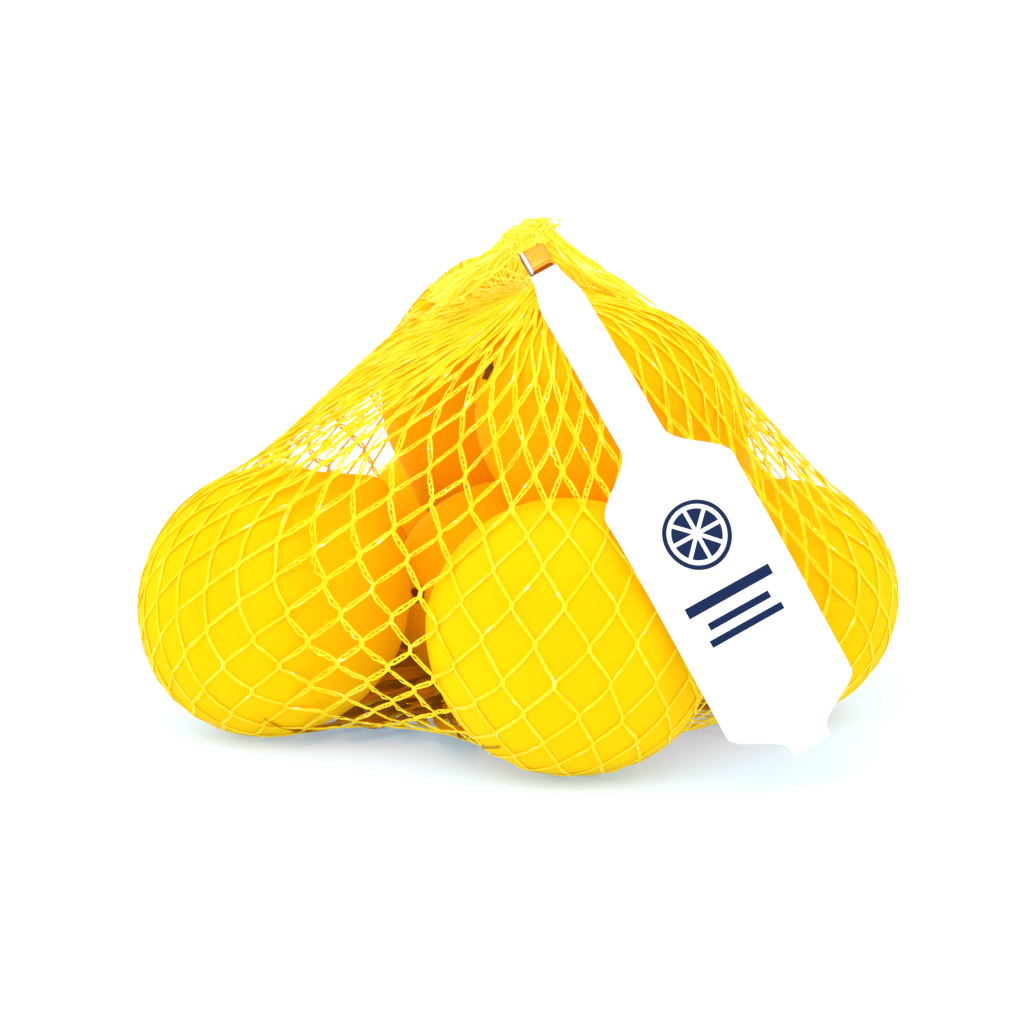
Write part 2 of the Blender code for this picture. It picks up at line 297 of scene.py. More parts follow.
def leg_pairs(rows, cells):
    """Numbers of the knots at the two ends of every leg."""
    column = np.arange(cells)
    starts, ends = [], []
    for row in range(rows):
        other = (column - 1) % cells if row % 2 == 0 else (column + 1) % cells
        for partner in (column, other):
            starts.append(row * cells + column)
            ends.append((row + 1) * cells + partner)
    return np.concatenate(starts), np.concatenate(ends)


def relax_knots(skin, knots, net, rng):
    """Pull over-long legs in and push crowded ones apart, on the skin, until the net lies evenly."""
    rows, cells = knots.shape[0] - 1, knots.shape[1]
    starts, ends = leg_pairs(rows, cells)
    longest = net.leg_length / MM * rng.normal(1.0, LEG_SCATTER, len(starts))
    shortest = LEG_SHORTEST * longest
    places = knots.reshape(-1, 3).copy()
    places += rng.normal(0.0, 0.5, places.shape)
    held = np.zeros(len(places), bool)
    held[:cells] = held[-cells:] = True
    fixed = knots.reshape(-1, 3)[held]
    degree = np.bincount(starts, minlength=len(places)) + np.bincount(ends, minlength=len(places))
    for _ in range(net.relax_rounds):
        along = places[ends] - places[starts]
        length = np.linalg.norm(along, axis=1)
        change = np.maximum(length - longest, 0.0) + 0.25 * np.minimum(length - shortest, 0.0)
        push = along * (change / np.maximum(length, 1e-6))[:, None] * 0.5
        move = np.zeros_like(places)
        even = np.zeros_like(places)
        np.add.at(move, starts, push)
        np.add.at(move, ends, -push)
        np.add.at(even, starts, places[ends])
        np.add.at(even, ends, places[starts])
        even = even / degree[:, None] - places
        places = places + move * 0.6 + even * net.evenness
        places = skin.settle(places)
        places[held] = fixed
    return places.reshape(knots.shape)


def wale_path(skin, knots, wale, net, rng):
    """One knitted wale from the clip to the foot: it joins its left and its right neighbour in turn.

    Gives its line, how slack it hangs, how near a knot it is and how crowded its neighbours stand.
    """
    rows, cells = knots.shape[0] - 1, knots.shape[1]
    places, downs, rooms = [], [], []
    for row in range(rows + 1):
        if row % 2 == 0:
            column, hand = wale // 2, -1.0 if wale % 2 == 0 else 1.0
        elif wale % 2 == 1:
            column, hand = wale // 2, -1.0
        else:
            column, hand = (wale // 2 - 1) % cells, 1.0
        here = knots[row, column]
        normal = skin.normal(here[None])[0]
        down = knots[min(row + 2, rows), column] - knots[max(row - 2, 0), column]
        down = unit(down - normal * (down @ normal))
        right = knots[row, (column + 1) % cells] - knots[row, column - 1]
        side = np.cross(down, normal)
        side = side if side @ right > 0.0 else -side
        room = np.linalg.norm(right) / 4.0
        places.append(here + side * hand * min(net.knot_gap / MM / 2, room / 2))
        downs.append(down)
        rooms.append(room)
    path, slack, knotted, crowded = [], [], [], []
    run = net.knot_length / MM / 2
    share = np.linspace(0.0, 1.0, net.leg_steps)
    share = share + 0.05 * np.sin(2 * math.pi * share)
    belly = 4.0 * share * (1.0 - share)
    for row in range(rows):
        start, end = places[row] + downs[row] * run, places[row + 1] - downs[row + 1] * run
        reach = np.linalg.norm(end - start) + 2 * run
        spare = min(max(1.0 - reach / (net.leg_length / MM), 0.0), 0.5)
        bow = rng.normal(0.0, LEG_BOW, 3) + np.array((0.0, 0.0, -1.0)) * LEG_SAG * math.sqrt(spare)
        line = start + (end - start) * share[:, None] + bow * (belly * (0.3 + spare))[:, None]
        path.append(line)
        slack.append(spare * belly)
        knotted.append(1.0 - np.clip(np.minimum(share, 1.0 - share) / KNOT_SHARE, 0.0, 1.0))
        crowded.append(rooms[row] + (rooms[row + 1] - rooms[row]) * share)
    path = skin.settle(np.vstack(path))
    return path, np.concatenate(slack), np.concatenate(knotted), np.concatenate(crowded)


def hanging_free(peel, path):
    """0 where a line lies on the peel, 1 where it hangs clear of it."""
    clear = np.array([peel.find_nearest(Vector(place * MM))[3] for place in path]) / MM
    return ease(clear, FREE_HANG)


def tape_layout(path, normals, slack, knotted, room, free, tape, layer, net, rng):
    """Middle line and half width, as a vector, of one of the three tapes that a wale is knitted from."""
    run = np.concatenate(([0.0], np.cumsum(np.linalg.norm(np.diff(path, axis=0), axis=1))))
    down = unit(np.gradient(path, axis=0))
    right = unit(np.cross(down, normals))
    start = rng.uniform(0.0, 6.0, 3)
    slow = np.sin(run / 7.3 + start[0]) * 0.6 + np.sin(run / 3.1 + start[1]) * 0.4
    spread = net.tape_spread / MM * (1.0 - 0.5 * knotted) * np.clip(room / ROOMY, 0.35, 1.0)
    spread = spread * (ON_PEEL + (1.0 - ON_PEEL) * free)
    loose = np.maximum(slack - 0.05, 0.0) * free
    turn = run / net.loop_pitch * MM * 2 * math.pi + start[2] + 2.2 * slow
    zigzag = np.clip(1.9 * np.sin(turn), -1.0, 1.0)
    slow = slow * (0.5 + 0.5 * free)
    if tape == 0:
        sideways = -spread * (1.0 + 0.25 * slow)
        width = np.full(len(path), net.tape_width / MM * 1.15)
    elif tape == 1:
        loops = 0.12 + 6.5 * loose * (1.0 + 0.8 * slow)
        sideways = spread * (1.0 + 0.3 * slow + np.maximum(zigzag, 0.0) * loops)
        width = np.full(len(path), net.tape_width / MM)
    else:
        sideways = spread * zigzag * 0.8
        width = np.full(len(path), net.tape_width / MM * 0.8)
    roll = 0.45 * slow + 0.5 * np.sin(run / 5.0 + start[1])
    crowd = 1.0 - np.clip(room / 1.5, 0.0, 1.0)
    depth = layer * 2.2 * crowd
    width = width * (1.0 + 0.9 * crowd)
    upwards = 0.10 * (tape - 1) * np.sin(turn / 2) - NET_SINK - depth
    middle = path + right * sideways[:, None] + normals * upwards[:, None]
    flat = right * np.cos(roll)[:, None] + normals * np.sin(roll)[:, None]
    return middle, flat * (width / 2)[:, None]


def clear_of_peel(peel, line):
    """Push a line out of the lemons, to a small gap above the peel, and off the floor."""
    for index, place in enumerate(line):
        near, normal, _, distance = peel.find_nearest(Vector(place * MM))
        if near is None:
            continue
        height = (Vector(place * MM) - near).dot(normal) / MM
        if height < PEEL_GAP and distance < PEEL_REACH * MM:
            line[index] = place + np.array(normal) * (PEEL_GAP - height)
    line[:, 2] = np.maximum(line[:, 2], 2 * FLOOR_GAP)
    return line


def tape_mesh():
    """An empty mesh for tapes, with the layer that holds their tones and painted glints."""
    mesh = bmesh.new()
    return mesh, mesh.verts.layers.float.new("tone")


def add_tape(mesh, tone_and_glint_layer, middle, half_width, tone):
    """A flat tape along a line, laid out from a one-wide grid, with its own tone and short painted glints,
    pale and near-white, here and there.
    """
    count = len(middle)
    along = np.arange(count)
    # painted glints: short runs where the tone rises to the pale and near-white stops of the net's ramp
    glint = np.sin(along * 0.41 + 40.0 * tone) * np.sin(along * 0.173 + 90.0 * tone)
    tones_and_glints = 0.35 * tone + 0.65 * np.clip((glint - 0.62) / 0.3, 0.0, 1.0)
    grid = bmesh.ops.create_grid(mesh, x_segments=1, y_segments=count - 1, size=1.0)
    for vertex in grid["verts"]:
        step = int(round((vertex.co.y + 1.0) / 2.0 * (count - 1)))
        place = middle[step] + half_width[step] * vertex.co.x
        place[2] = max(place[2], FLOOR_GAP)
        vertex.co = place * MM
        vertex[tone_and_glint_layer] = tones_and_glints[step]


def face_outwards(mesh):
    """Turn the faces of a closed mesh so that they all face out."""
    bmesh.ops.recalc_face_normals(mesh, faces=mesh.faces)
    if mesh.calc_volume(signed=True) < 0.0:
        bmesh.ops.reverse_faces(mesh, faces=mesh.faces)


def finished_piece(name, mesh, material, node):
    """Turn a bmesh into a smooth piece that rides on the frame and stands for a node."""
    data = bpy.data.meshes.new(name)
    mesh.to_mesh(data)
    mesh.free()
    data.shade_smooth()
    data.materials.append(material)
    piece = bpy.data.objects.new(name, data)
    bpy.context.scene.collection.objects.link(piece)
    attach(piece, "root")
    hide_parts(node)
    return piece


def thicken(piece, thickness, offset=0.0):
    """Give the sheets of a piece a wall, half of it on each side unless they are offset."""
    wall = piece.modifiers.new("thickness", 'SOLIDIFY')
    wall.thickness = thickness
    wall.offset = offset


# ---- materials ----------------------------------------------------------------------------------------
# painted highlight on the clip's rolled end
CLIP_PAINTED_HIGHLIGHT = (1.0, 0.96, 0.92)
# painted glint: the near-white top of the net's colour ramp
NET_PAINTED_GLINT = (0.98, 0.95, 0.58)


def new_material(name, **constants):
    """A node material with its shader, with some of the shader's inputs set (_ stands for a space)."""
    made = bpy.data.materials.new(name)
    made.use_nodes = True
    shader = made.node_tree.nodes["Principled BSDF"]
    for key, value in constants.items():
        shader.inputs[key.replace("_", " ")].default_value = value
    return made, made.node_tree, shader


def add_node(tree, kind, **values):
    """A shader node with some of its inputs or settings set."""
    node = tree.nodes.new(kind)
    for key, value in values.items():
        if key in node.inputs:
            node.inputs[key].default_value = value
        else:
            setattr(node, key, value)
    return node


def object_noise(tree, **values):
    """Noise that is fixed to the object."""
    grain = add_node(tree, "ShaderNodeTexNoise", **values)
    where = add_node(tree, "ShaderNodeTexCoord")
    tree.links.new(where.outputs["Object"], grain.inputs["Vector"])
    return grain.outputs["Fac"]


def link_ramp(tree, shader, factor, *stops):
    """Colour the shader by a ramp of (position, colour) stops, in rising order."""
    tones_and_glints = tree.nodes.new("ShaderNodeValToRGB")
    ends = tones_and_glints.color_ramp.elements
    ends[0].position, ends[1].position = stops[0][0], stops[-1][0]
    ends[0].color, ends[1].color = tuple(stops[0][1]) + (1.0,), tuple(stops[-1][1]) + (1.0,)
    for position, colour in stops[1:-1]:
        tones_and_glints.color_ramp.elements.new(position).color = tuple(colour) + (1.0,)
    tree.links.new(factor, tones_and_glints.inputs["Fac"])
    tree.links.new(tones_and_glints.outputs["Color"], shader.inputs["Base Color"])


def link_bump(tree, shader, height, strength, distance):
    """Bump the shader's surface."""
    bump = add_node(tree, "ShaderNodeBump", Strength=strength, Distance=distance)
    tree.links.new(height, bump.inputs["Height"])
    tree.links.new(bump.outputs["Normal"], shader.inputs["Normal"])


def ripe_and_shaded_colour(colour, ripe_and_shade):
    """A colour with its green taken down, partly as in a riper lemon and partly as painted shade."""
    return (colour[0], colour[1] * ripe_and_shade, colour[2])


def peel_material(name, settings, seed, ripe_and_shade):
    """Waxy lemon peel with pores and faint mottling; its weak orange glow is painted light that lifts the
    shaded parts towards orange.
    """
    # the emission is a painted orange glow that brightens the peel's shade
    made, tree, shader = new_material(
        name, Roughness=0.45, Specular_IOR_Level=0.004, Emission_Color=(1.0, 0.40, 0.0, 1.0),
        Emission_Strength=0.10, Subsurface_Weight=0.6, Subsurface_Radius=(1.0, 0.7, 0.1),
        Subsurface_Scale=0.0025)
    where = add_node(tree, "ShaderNodeTexCoord")
    shift = add_node(tree, "ShaderNodeMapping", Location=(seed * 0.37, seed * 0.61, seed * 0.23))
    tree.links.new(where.outputs["Object"], shift.inputs["Vector"])
    mottle = add_node(tree, "ShaderNodeTexNoise", Scale=45.0, Detail=3.0, Roughness=0.55)
    tree.links.new(shift.outputs["Vector"], mottle.inputs["Vector"])
    link_ramp(tree, shader, mottle.outputs["Fac"], (0.3, ripe_and_shaded_colour(settings.peel_deep, ripe_and_shade)),
              (0.7, ripe_and_shaded_colour(settings.peel_colour, ripe_and_shade)))
    pores = add_node(tree, "ShaderNodeTexVoronoi", feature='SMOOTH_F1', Scale=620.0, Randomness=0.9)
    tree.links.new(shift.outputs["Vector"], pores.inputs["Vector"])
    dents = add_node(tree, "ShaderNodeMapRange")
    dents.inputs["From Max"].default_value = 0.35
    tree.links.new(pores.outputs["Distance"], dents.inputs["Value"])
    link_bump(tree, shader, dents.outputs["Result"], settings.pore_strength, 0.00025)
    return made


def net_material(name, colour, pale, glow=NET_GLOW):
    """Thin yellow plastic tape with tone that differs at random, painted glints where its tone runs high, and
    a painted glow that stands for the light it lets through.
    """
    made, tree, shader = new_material(
        name, Roughness=0.5, Specular_IOR_Level=0.06, Emission_Color=tuple(colour) + (1.0,),
        Emission_Strength=glow)
    tone = add_node(tree, "ShaderNodeAttribute", attribute_name="tone")
    link_ramp(tree, shader, tone.outputs["Fac"], (0.0, colour), (0.84, pale), (0.97, NET_PAINTED_GLINT))
    return made


def stem_material():
    """Dry brown stalk end."""
    made, tree, shader = new_material("stem", Roughness=0.8, Specular_IOR_Level=0.1)
    grain = object_noise(tree, Scale=900.0, Detail=4.0)
    link_ramp(tree, shader, grain, (0.0, (0.05, 0.018, 0.004)), (1.0, (0.30, 0.115, 0.018)))
    link_bump(tree, shader, grain, 0.6, 0.0003)
    return made


def clip_material(settings):
    """Copper-coloured metal with a faint brushed grain; at its rolled end a painted highlight stripe lies
    between bands of painted dark reflection.
    """
    made, tree, shader = new_material("clip", Metallic=0.35, Roughness=0.35)
    across = add_node(tree, "ShaderNodeAttribute", attribute_name="across")
    edge, face = settings.clip_dark_reflection, settings.clip_colour
    # painted reflection across the band: dark, then a pale highlight, then dark again at the rolled end, then
    # the face colour
    link_ramp(tree, shader, across.outputs["Fac"], (0.0, edge), (0.07, edge), (0.11, CLIP_PAINTED_HIGHLIGHT),
              (0.17, CLIP_PAINTED_HIGHLIGHT), (0.21, edge), (0.25, face), (0.30, face))
    link_bump(tree, shader, object_noise(tree, Scale=1500.0, Detail=2.0), 0.08, 0.0001)
    return made


# ---- properties ---------------------------------------------------------------------------------------
class LemonSettings(bpy.types.PropertyGroup):
    """Looks of the fruit."""

    peel_colour: bpy.props.FloatVectorProperty(
        name="Peel", description="Colour of the peel", subtype='COLOR', size=3,
        min=0.0, max=1.0, default=(0.97, 0.560, 0.002))
    peel_deep: bpy.props.FloatVectorProperty(
        name="Deep peel", description="Darker tone in the peel's mottling", subtype='COLOR', size=3,
        min=0.0, max=1.0, default=(0.97, 0.530, 0.002))
    pore_strength: bpy.props.FloatProperty(
        name="Pores", description="How deep the pores look", subtype='FACTOR', min=0.0, max=1.0, default=0.07)


class NetSettings(bpy.types.PropertyGroup):
    """Sizes and colours of the knitted net."""

    cells_around: bpy.props.IntProperty(
        name="Cells around", description="Diamonds in one row round the bag", default=52, min=8)
    rows: bpy.props.IntProperty(
        name="Rows", description="Rows of legs from the clip to the foot", default=28, min=4)
    leg_length: bpy.props.FloatProperty(
        name="Leg", description="Length of a side of a diamond", unit='LENGTH', default=0.0094)
    relax_rounds: bpy.props.IntProperty(
        name="Relaxing", description="Rounds in which the knots settle", default=160, min=0)
    evenness: bpy.props.FloatProperty(
        name="Evenness", description="Pull of each knot to the middle of its neighbours",
        subtype='FACTOR', min=0.0, max=1.0, default=0.08)
    knot_length: bpy.props.FloatProperty(
        name="Knot", description="Length over which two wales are joined", unit='LENGTH', default=0.0016)
    knot_gap: bpy.props.FloatProperty(
        name="Knot gap", description="Distance between two joined wales", unit='LENGTH', default=0.0005)
    leg_steps: bpy.props.IntProperty(
        name="Leg steps", description="Points along one leg", default=12, min=3)
    tape_width: bpy.props.FloatProperty(
        name="Tape width", description="Width of one flat tape", unit='LENGTH', default=0.00040)
    tape_thickness: bpy.props.FloatProperty(
        name="Tape thickness", description="Thickness of one flat tape", unit='LENGTH', default=0.00012)
    tape_spread: bpy.props.FloatProperty(
        name="Tape spread", description="How far the tapes of a wale stand from its middle", unit='LENGTH',
        default=0.00040)
    loop_pitch: bpy.props.FloatProperty(
        name="Loop pitch", description="Length of one stitch loop", unit='LENGTH', default=0.0029)
    colour: bpy.props.FloatVectorProperty(
        name="Net", description="Colour of the tape", subtype='COLOR', size=3, min=0.0, max=1.0,
        default=(0.80, 0.585, 0.002))
    # the pale tone: random tones lean a little towards it, and the painted glints reach it
    pale: bpy.props.FloatVectorProperty(
        name="Pale net", description="Palest tape", subtype='COLOR', size=3, min=0.0, max=1.0,
        default=(0.86, 0.76, 0.08))


class LabelSettings(bpy.types.PropertyGroup):
    """Sizes and colours of the hang label and its clip."""

    thickness: bpy.props.FloatProperty(
        name="Thickness", description="Thickness of the label's film", unit='LENGTH', default=0.00028)
    paper_colour: bpy.props.FloatVectorProperty(
        name="Film", description="Colour of the label", subtype='COLOR', size=3, min=0.0, max=1.0,
        default=(0.92, 0.92, 0.92))
    print_colour: bpy.props.FloatVectorProperty(
        name="Print", description="Colour of the print", subtype='COLOR', size=3, min=0.0, max=1.0,
        default=(0.006, 0.018, 0.070))
    clip_colour: bpy.props.FloatVectorProperty(
        name="Clip", description="Colour of the metal clip", subtype='COLOR', size=3, min=0.0, max=1.0,
        default=(1.0, 0.40, 0.02))
    # the dark of the painted reflection at the band's rolled end, on either side of its painted highlight
    clip_dark_reflection: bpy.props.FloatVectorProperty(
        name="Clip edge", description="Colour of the band where it is rolled over", subtype='COLOR', size=3,
        min=0.0, max=1.0, default=(0.38, 0.14, 0.09))


class StageSettings(bpy.types.PropertyGroup):
    """Camera and light."""

    elevation: bpy.props.FloatProperty(
        name="Elevation", description="How far the camera looks down", subtype='ANGLE',
        default=math.radians(12.0))
    distance: bpy.props.FloatProperty(
        name="Distance", description="From the camera to the front lemon", unit='LENGTH', default=1.0)
    lens: bpy.props.FloatProperty(
        name="Lens", description="Focal length in millimetres on a 36 mm sensor", default=168.75)
    sky: bpy.props.FloatProperty(
        name="Sky", description="Strength of the white surroundings", default=1.22)
    key: bpy.props.FloatProperty(
        name="Key light", description="Power of the large soft light", unit='POWER', default=4.2)


class LemonNetSettings(bpy.types.PropertyGroup):
    """All settings of the pack."""

    lemons: bpy.props.PointerProperty(type=LemonSettings)
    net: bpy.props.PointerProperty(type=NetSettings)
    label: bpy.props.PointerProperty(type=LabelSettings)
    stage: bpy.props.PointerProperty(type=StageSettings)


# ---- lemons -------------------------------------------------------------------------------------------
LEMON_RINGS = 64
LEMON_SEGMENTS = 96


def bulge(angle, middle, width):
    """A smooth bulge, 1 high, round an angle."""
    return math.exp(-((angle - middle) / width) ** 2)


def lemon_point(direction, across, half_length, nipple, seed, button):
    """Where a direction from a lemon's middle meets its peel; the long axis is X.

    The nipple has a ring round its foot and four furrows. A stalk end with its button is drawn in, in five.
    """
    polar = math.acos(max(min(direction.x, 1.0), -1.0))
    round_about = math.atan2(direction.z, direction.y)
    offset = Vector((seed * 3.1, seed * 1.7, seed * 2.3))
    swell = 1.0 + 0.016 * noise.noise(direction * 1.3 + offset)
    swell += 0.006 * noise.noise(direction * 3.7 + offset)
    x = half_length * math.cos(polar)
    radius = across * math.sin(polar)
    x += nipple * bulge(polar, 0.0, 0.24) - 0.35 * bulge(polar, 0.46, 0.10)
    tail = math.pi - polar
    furrow = 0.7 * bulge(polar, 0.30, 0.12) * math.cos(4 * round_about + 2.0 * seed)
    if button:
        x -= 1.3 * bulge(tail, 0.0, 0.26) - 1.1 * bulge(tail, 0.0, 0.075)
        furrow += bulge(tail, 0.22, 0.13) * math.cos(5 * round_about + seed)
    radius += 0.22 * furrow
    return Vector((x, radius * math.cos(round_about), radius * math.sin(round_about))) * swell


def lemon_frame(direction):
    """Rotation whose first column is the direction."""
    return Vector(direction).to_track_quat('X', 'Z').to_matrix()


class LEMONNET_OT_lemons(bpy.types.Operator):
    """Make the lemons, each with its own bumps, nipple and stalk end"""

    bl_idname = "lemon_net.lemons"
    bl_label = "Make lemons"

    def execute(self, context):
        settings = context.scene.lemon_net.lemons
        stem = stem_material()
        for name, lemon in LEMONS.items():
            centre, across, half_length, direction, nipple, seed, ripe_and_shade, button = lemon
            turn = lemon_frame(direction)
            mesh = bmesh.new()
            bmesh.ops.create_uvsphere(
                mesh, u_segments=LEMON_SEGMENTS, v_segments=LEMON_RINGS, radius=1.0,
                matrix=Matrix.Rotation(math.pi / 2, 4, 'Y'))
            for vertex in mesh.verts:
                point = lemon_point(vertex.co.normalized(), across, half_length, nipple, seed, button)
                vertex.co = (turn @ point + Vector(centre)) * MM
            face_outwards(mesh)
            finished_piece(
                "lemon_" + name, mesh, peel_material("peel_" + name, settings, seed, ripe_and_shade), "net_bag")
            if button:
                self.stalk(name, turn, centre, across, half_length, nipple, seed, stem)
        return {'FINISHED'}

    def stalk(self, name, turn, centre, across, half_length, nipple, seed, material):
        """The dried button where the fruit was cut from its stalk."""
        mesh = bmesh.new()
        bmesh.ops.create_uvsphere(
            mesh, u_segments=20, v_segments=10, radius=1.0, matrix=Matrix.Rotation(math.pi / 2, 4, 'Y'))
        noise.seed_set(seed)
        tail = lemon_point(Vector((-1.0, 0.0, 0.0)), across, half_length, nipple, seed, True).x
        for vertex in mesh.verts:
            angle = math.atan2(vertex.co.z, vertex.co.y)
            lobes = 2.4 * (1.0 + 0.22 * math.cos(5 * angle + seed))
            point = Vector((tail - 0.15 + 0.75 * vertex.co.x, lobes * vertex.co.y, lobes * vertex.co.z))
            point += 0.12 * noise.noise_vector(point * 1.3)
            vertex.co = (turn @ point + Vector(centre)) * MM
        face_outwards(mesh)
        finished_piece("stem_" + name, mesh, material, "net_bag")


def peel_tree():
    """All the lemons' peels together, for finding the nearest one."""
    corners, faces = [], []
    for name in LEMONS:
        data = bpy.data.objects["lemon_" + name].data
        first = len(corners)
        corners.extend(v.co.copy() for v in data.vertices)
        faces.extend([first + k for k in p.vertices] for p in data.polygons)
    return BVHTree.FromPolygons(corners, faces)


# ---- the net's operator -------------------------------------------------------------------------------
class LEMONNET_OT_net(bpy.types.Operator):
    """Knit the net round the lemons, in bands side by side"""

    bl_idname = "lemon_net.net"
    bl_label = "Knit net"

    def execute(self, context):
        net = context.scene.lemon_net.net
        rng = np.random.default_rng(7)
        skin = NetSkin()
        peel = peel_tree()
        knots = relax_knots(skin, lay_knots(skin, net), net, rng)
        material = net_material("net", net.colour, net.pale)
        wales = 2 * net.cells_around
        edges = np.linspace(0, wales, NET_BANDS + 1).astype(int)
        for band in range(NET_BANDS):
            mesh, tone_and_glint_layer = tape_mesh()
            for wale in range(edges[band], edges[band + 1]):
                path, slack, knotted, room = wale_path(skin, knots, wale, net, rng)
                normals = skin.normal(path)
                free = hanging_free(peel, path)
                layer = rng.uniform(0.0, 1.0)
                for tape in range(3):
                    middle, half_width = tape_layout(
                        path, normals, slack, knotted, room, free, tape, layer, net, rng)
                    middle = clear_of_peel(peel, middle)
                    add_tape(mesh, tone_and_glint_layer, middle, half_width, rng.uniform(0.0, 1.0) ** 2)
            piece = finished_piece(f"net_band_{band + 1}", mesh, material, "net_bag")
            thicken(piece, net.tape_thickness)
        return {'FINISHED'}


class LEMONNET_OT_gathers(bpy.types.Operator):
    """Lay the folded net that fans out of the clip and out of the foot"""

    bl_idname = "lemon_net.gathers"
    bl_label = "Lay gathers"

    CLIP_TAPES = 330
    CLIP_STEPS = 20
    CLIP_SIDES = (-70.0, -262.0)    # the folds leave the clip at the left and the back,
    CLIP_SHARE = 0.25               # this share of them,
    CROWN_SIDES = (-96.0, -205.0)   # and the others over the upper left lemon
    CLIP_START = (1.5, 5.0)
    CLIP_END = (34.0, 92.0)
    CLIP_DEPTH = 1.3                # they lie up to this far below the net
    CLIP_WIDTHS = (0.45, 0.85)
    FOOT_TAPES = 290
    FOOT_STEPS = 14
    FOOT_START = (0.5, 5.0)
    FOOT_END = (34.0, 64.0)
    FOOT_DEPTH = 7.0
    FOOT_WIDTHS = (1.80, 3.40)
    FOOT_SHADED_COLOUR = (0.56, 0.26, 0.003)   # painted shade: the net's colours darkened to brown-orange, as it lies in the shade of the fruit
    FOOT_SHADED_PALE = (0.66, 0.34, 0.006)
    # with a weaker painted glow than the rest of the net
    FOOT_GLOW = 0.08

    def execute(self, context):
        net = context.scene.lemon_net.net
        rng = np.random.default_rng(23)
        skin = NetSkin()
        peel = peel_tree()
        top_sides, gap = column_sides(skin, net.cells_around)
        mesh, tone_and_glint_layer = tape_mesh()
        for _ in range(self.CLIP_TAPES):
            first, last = self.CLIP_SIDES if rng.uniform(0.0, 1.0) < self.CLIP_SHARE else self.CROWN_SIDES
            side = math.radians(first + (last - first) * rng.uniform(0.0, 1.0))
            turn = np.interp(side, top_sides, gap, period=2 * math.pi)
            runs = np.linspace(rng.uniform(*self.CLIP_START), rng.uniform(*self.CLIP_END), self.CLIP_STEPS)
            sides = side + turn * ease(runs, FAN_RUN) + rng.normal(0.0, 0.05) * runs / 40.0
            depth = rng.uniform(0.0, self.CLIP_DEPTH)
            self.fold(mesh, tone_and_glint_layer, skin, peel, runs, sides, depth, self.CLIP_WIDTHS, rng)
        folds = finished_piece(
            "net_folds", mesh, net_material("net_folds", net.colour, net.pale), "net_bag")
        thicken(folds, net.tape_thickness)
        mesh, tone_and_glint_layer = tape_mesh()
        for _ in range(self.FOOT_TAPES):
            side = rng.uniform(-math.pi, math.pi)
            whole = float(skin.length(np.array([side]))[0])
            risen = np.linspace(rng.uniform(*self.FOOT_START), rng.uniform(*self.FOOT_END), self.FOOT_STEPS)
            runs = whole - risen
            sides = side + rng.normal(0.0, 0.10) * (whole - runs) / 30.0
            depth = self.FOOT_DEPTH * rng.uniform(0.0, 1.0) ** 2
            self.fold(mesh, tone_and_glint_layer, skin, peel, runs, sides, depth, self.FOOT_WIDTHS, rng)
        shaded = net_material("net_foot", self.FOOT_SHADED_COLOUR, self.FOOT_SHADED_PALE, self.FOOT_GLOW)
        thicken(finished_piece("net_foot", mesh, shaded, "net_bag"), net.tape_thickness)
        return {'FINISHED'}

    def fold(self, mesh, tone_and_glint_layer, skin, peel, runs, sides, depth, widths, rng):
        """One tape along the skin, a little below it, narrowing at both ends."""
        path = skin.fallen(runs, sides)
        normals = skin.normal(path)
        down = unit(np.gradient(path, axis=0))
        right = unit(np.cross(down, normals))
        wave = np.sin(runs / rng.uniform(3.0, 7.0) + rng.uniform(0.0, 6.0)) * rng.uniform(0.1, 0.5)
        path = path + right * wave[:, None] - normals * (NET_SINK + depth)
        path = clear_of_peel(peel, path)
        roll = 0.7 * np.sin(runs / rng.uniform(4.0, 9.0) + rng.uniform(0.0, 6.0))
        flat = right * np.cos(roll)[:, None] + normals * np.sin(roll)[:, None]
        share = np.linspace(0.0, 1.0, len(runs))
        taper = np.clip(6.0 * np.minimum(share, 1.0 - share), 0.25, 1.0)
        width = rng.uniform(*widths) * taper
        add_tape(mesh, tone_and_glint_layer, path, flat * (width / 2)[:, None], rng.uniform(0.0, 1.0))


